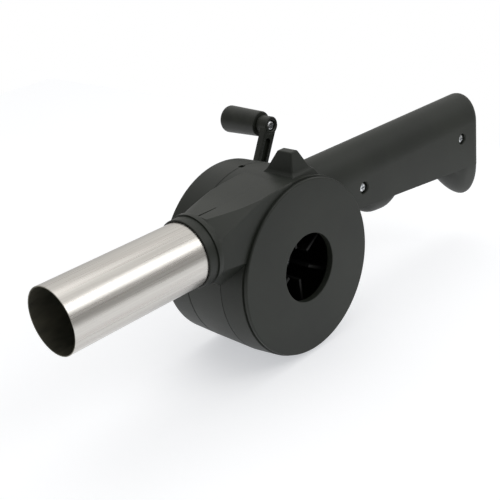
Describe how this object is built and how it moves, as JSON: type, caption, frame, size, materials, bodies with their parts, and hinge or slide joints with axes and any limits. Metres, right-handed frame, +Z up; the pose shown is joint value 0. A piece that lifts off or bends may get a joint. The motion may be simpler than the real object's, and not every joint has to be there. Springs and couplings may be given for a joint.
{
  "type": "manual barbecue blower",
  "caption": "Hand cranked charcoal blower: round drum casing with an intake hole, steel nozzle tube, moulded handle with a hooked end, and a crank that drives a geared fan.",
  "frame": {"origin": "middle of the underside of the bounding box", "axes": "+X from the nozzle to the handle's hooked end, +Y from the intake face to the crank side, +Z up"},
  "size_m": [0.3198, 0.1012, 0.1117],
  "materials": {
    "casing": "moulded, fine matte grain",
    "crank": "moulded, satin",
    "tube": "drawn stainless tube, bright with lengthwise streaks",
    "steel": "turned or rolled, zinc plated",
    "bronze": "sintered, dull",
    "nylon": "moulded, natural white",
    "fan": "moulded, matte"
  },
  "bodies": {
    "casing": {"intake_shell": "casing", "middle_shell": "casing", "gear_cover": "casing", "nozzle_tube": "tube", "fan_bush_front": "bronze", "fan_bush_rear": "bronze", "crank_bush": "bronze", "idler_pin": "steel", "handle_screw_drum_end": "steel", "handle_screw_hook_end": "steel", "cover_screw_1": "steel", "cover_screw_2": "steel", "cover_screw_3": "steel", "cover_screw_4": "steel"},
    "crank": {"crank_shaft": "steel", "crank_gear": "nylon", "crank_arm": "crank", "crank_screw": "steel", "crank_washer": "steel"},
    "grip": {"crank_grip": "crank", "grip_screw": "steel"},
    "idler": {"idler_gear": "nylon", "idler_washer": "steel"},
    "fan": {"fan_shaft": "steel", "impeller": "fan", "impeller_nut": "steel", "fan_pinion": "steel"}
  },
  "joints": [
    {"name": "crank_turn", "type": "hinge", "parent": "casing", "child": "crank", "pos_m": [0.00725, -0.00068, 0.04945], "axis": [0, 1, 0], "continuous": true},
    {"name": "grip_spin", "type": "hinge", "parent": "crank", "child": "grip", "pos_m": [0.03523, 0.03633, 0.10366], "axis": [0, 1, 0], "continuous": true},
    {"name": "idler_turn", "type": "hinge", "parent": "casing", "child": "idler", "pos_m": [-0.01062, -0.00068, 0.02687], "axis": [0, 1, 0], "continuous": true},
    {"name": "fan_turn", "type": "hinge", "parent": "casing", "child": "fan", "pos_m": [-0.01375, -0.01868, 0.04945], "axis": [0, 1, 0], "continuous": true}
  ],
  "couplings": [
    {"joint": "idler_turn", "follows": "crank_turn", "ratio": -5},
    {"joint": "fan_turn", "follows": "crank_turn", "ratio": 18.75}
  ]
}
